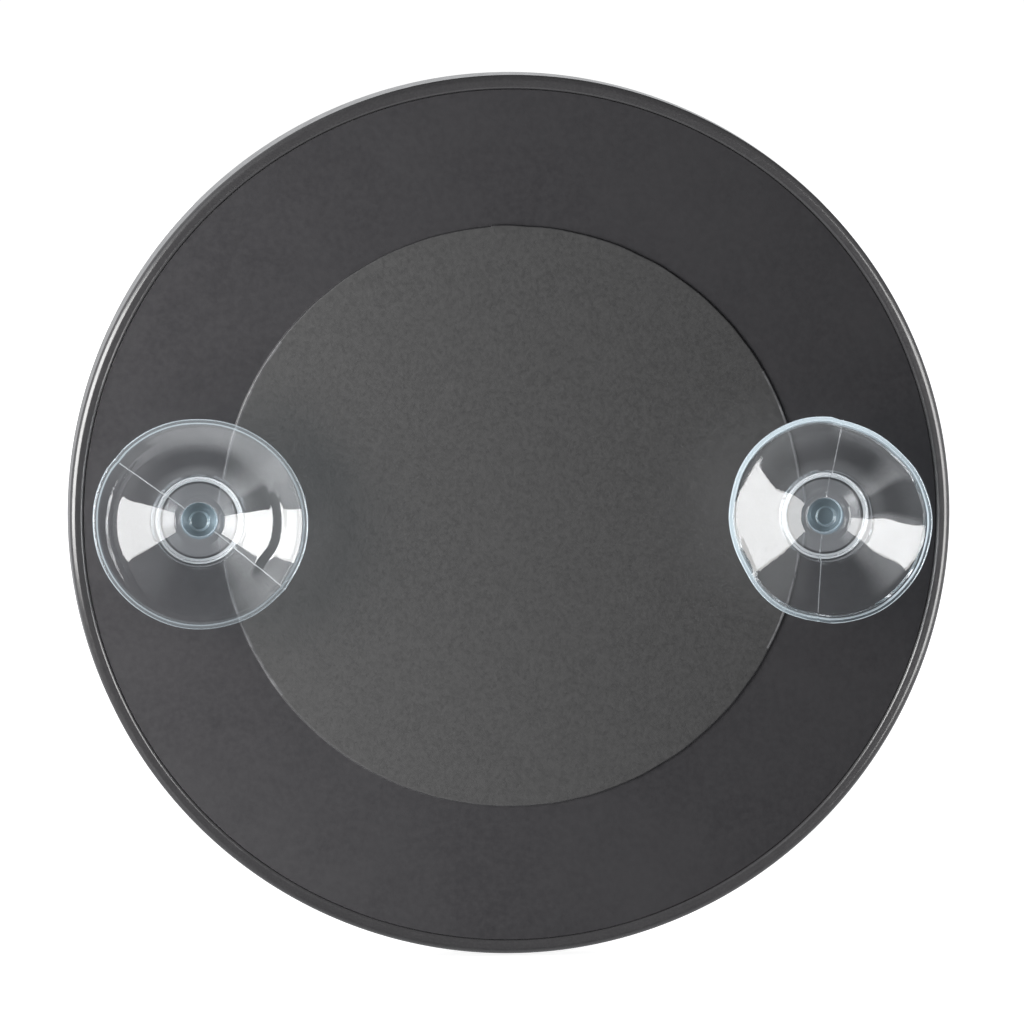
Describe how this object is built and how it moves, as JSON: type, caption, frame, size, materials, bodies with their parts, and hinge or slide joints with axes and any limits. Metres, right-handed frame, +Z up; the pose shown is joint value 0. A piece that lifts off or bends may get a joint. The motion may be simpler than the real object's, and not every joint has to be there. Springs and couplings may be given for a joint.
{
  "type": "magnifying mirror",
  "caption": "Round concave magnifying mirror in a black plastic frame that sticks to a smooth wall with clear suction cups turning in holes in its back cover.",
  "frame": {"origin": "midway between the two suction cups, on the wall plane that their lips lie in", "axes": "+Z up, +Y into the wall (out of the mirror's back), the mirror faces -Y; the cups lie along X, the one on the left of the picture, which is seen from behind, at +X"},
  "size_m": [0.1728, 0.0262, 0.1728],
  "materials": {
    "cover_plastic": "satin outer ring, finely textured matt middle field",
    "bezel_plastic": "semi-gloss",
    "mirror": "silvered glass",
    "foam": "closed-cell foam, matt",
    "clear_pvc": "clear, glossy, faint blue in thick edges"
  },
  "bodies": {
    "mirror_body": {"rear_cover": "cover_plastic", "front_bezel": "bezel_plastic", "mirror_glass": "mirror", "foam_ring": "foam"},
    "left_cup": {"suction_cup_left": "clear_pvc"},
    "right_cup": {"suction_cup_right": "clear_pvc"}
  },
  "joints": [
    {"name": "left_cup_turn", "type": "hinge", "parent": "mirror_body", "child": "left_cup", "pos_m": [0.06085, 0, 0], "axis": [0, 1, 0], "continuous": true},
    {"name": "right_cup_turn", "type": "hinge", "parent": "mirror_body", "child": "right_cup", "pos_m": [-0.06085, 0, 0], "axis": [0, 1, 0], "continuous": true}
  ]
}
